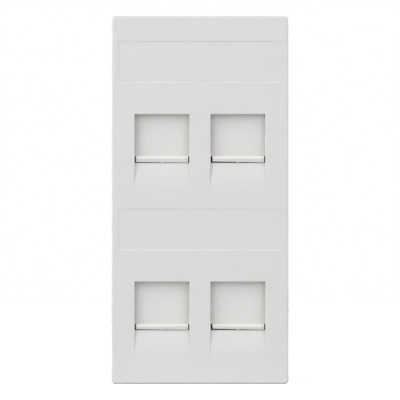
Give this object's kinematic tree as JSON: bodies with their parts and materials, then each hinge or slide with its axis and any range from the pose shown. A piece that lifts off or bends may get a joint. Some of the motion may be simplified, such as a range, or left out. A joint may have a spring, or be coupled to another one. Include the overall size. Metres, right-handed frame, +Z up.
{
  "type": "keystone faceplate",
  "caption": "Upright white wall faceplate with spring-loaded dust shutters, finger ramps and label fields over rear bays for snap-in network jacks.",
  "frame": {"origin": "centre of the rear rim plane, where the plate seats on its frame", "axes": "-Y out of the face towards the user, +Y into the wall, +Z up the plate, +X to the right seen from the front"},
  "size_m": [0.052, 0.0145, 0.108],
  "materials": {
    "plate_plastic": "satin moulded white, fine grain",
    "shutter_plastic": "satin moulded white, smooth",
    "carrier_plastic": "plain moulded white",
    "spring_steel": "bright drawn wire",
    "screw_steel": "zinc plated"
  },
  "bodies": {
    "plate": {"face_plate": "plate_plastic", "upper_jack_carrier": "carrier_plastic", "lower_jack_carrier": "carrier_plastic", "upper_carrier_screw_1": "screw_steel", "upper_carrier_screw_2": "screw_steel", "upper_carrier_screw_3": "screw_steel", "upper_carrier_screw_4": "screw_steel", "lower_carrier_screw_1": "screw_steel", "lower_carrier_screw_2": "screw_steel", "lower_carrier_screw_3": "screw_steel", "lower_carrier_screw_4": "screw_steel", "spring_upper_left": "spring_steel", "spring_upper_right": "spring_steel", "spring_lower_left": "spring_steel", "spring_lower_right": "spring_steel"},
    "upper_left_shutter": {"shutter_upper_left": "shutter_plastic"},
    "upper_right_shutter": {"shutter_upper_right": "shutter_plastic"},
    "lower_left_shutter": {"shutter_lower_left": "shutter_plastic"},
    "lower_right_shutter": {"shutter_lower_right": "shutter_plastic"}
  },
  "joints": [
    {"name": "upper_left_shutter_slide", "type": "slide", "parent": "plate", "child": "upper_left_shutter", "axis": [0, 0, 1], "range_m": [0, 0.012], "stiffness_N_per_m": 80, "springref_m": -0.002, "deforming": ["spring_upper_left"]},
    {"name": "upper_right_shutter_slide", "type": "slide", "parent": "plate", "child": "upper_right_shutter", "axis": [0, 0, 1], "range_m": [0, 0.012], "stiffness_N_per_m": 80, "springref_m": -0.002, "deforming": ["spring_upper_right"]},
    {"name": "lower_left_shutter_slide", "type": "slide", "parent": "plate", "child": "lower_left_shutter", "axis": [0, 0, 1], "range_m": [0, 0.012], "stiffness_N_per_m": 80, "springref_m": -0.002, "deforming": ["spring_lower_left"]},
    {"name": "lower_right_shutter_slide", "type": "slide", "parent": "plate", "child": "lower_right_shutter", "axis": [0, 0, 1], "range_m": [0, 0.012], "stiffness_N_per_m": 80, "springref_m": -0.002, "deforming": ["spring_lower_right"]}
  ]
}
